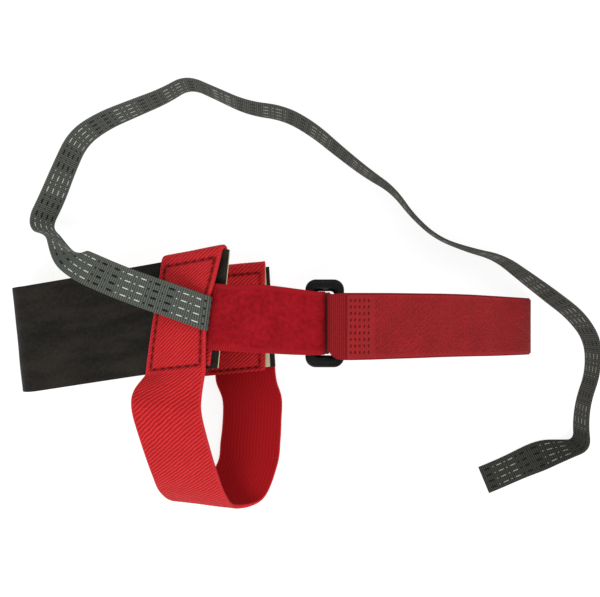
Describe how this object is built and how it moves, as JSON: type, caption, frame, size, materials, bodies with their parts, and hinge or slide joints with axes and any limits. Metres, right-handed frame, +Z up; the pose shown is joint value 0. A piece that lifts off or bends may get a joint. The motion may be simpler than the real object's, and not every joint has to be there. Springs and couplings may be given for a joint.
{
  "type": "heel grounding strap",
  "caption": "Anti-static heel strap: U-shaped rubber strip, elastic heel loop, hook-and-loop instep strap with ring, and a woven grounding ribbon.",
  "frame": {"origin": "on the table, under the middle of the strap without its free ribbon", "axes": "+X along the instep strap from the rubber's bend to the flap's tip, +Y from the heel loop to the ribbon's side, +Z up from the table"},
  "size_m": [0.2566, 0.185, 0.0523],
  "materials": {
    "black_rubber": "matte, finely grained",
    "cream_rubber": "matte",
    "red_elastic": "twill woven elastic",
    "red_webbing": "ribbed webbing",
    "red_velvet": "loop pile",
    "red_hook": "hook pile",
    "red_thread": "sewing thread",
    "dark_thread": "sewing thread",
    "black_plastic": "satin moulded",
    "grey_ribbon": "conductive woven ribbon with white and black yarns",
    "tinned_metal": "tinned",
    "resistor_coat": "lacquered",
    "sleeve_plastic": "heat-shrink"
  },
  "bodies": {
    "strap": {"rubber_outer_layer": "black_rubber", "rubber_inner_layer": "cream_rubber", "heel_elastic": "red_elastic", "loop_strap": "red_velvet", "far_strap": "red_webbing", "ribbon_pocket_end": "grey_ribbon", "grounding_ribbon": "grey_ribbon", "near_panel_stitching": "red_thread", "far_panel_stitching": "red_thread", "loop_strap_seam_stitching": "red_thread", "loop_strap_ring_tack": "red_thread", "far_strap_seam_stitching": "red_thread", "resistor_body": "resistor_coat", "resistor_sleeve": "sleeve_plastic", "resistor_rubber_lead": "tinned_metal", "resistor_ribbon_lead": "tinned_metal", "resistor_pocket_liner": "red_webbing", "ribbon_crimp": "tinned_metal", "rubber_contact_stud": "tinned_metal"},
    "ring": {"rectangular_ring": "black_plastic"},
    "hook_flap": {"hook_flap_base": "red_webbing", "hook_tape": "red_hook", "hook_tape_stitching": "dark_thread"}
  },
  "joints": [
    {"name": "ring_swing", "type": "hinge", "parent": "strap", "child": "ring", "pos_m": [0.0148, 0.0245, 0.0406], "axis": [0, 1, 0], "range_deg": [-8, 12]},
    {"name": "hook_flap_fold", "type": "hinge", "parent": "strap", "child": "hook_flap", "pos_m": [0.0219, 0.0235, 0.0459], "axis": [0, -1, 0], "range_deg": [0, 165]}
  ]
}
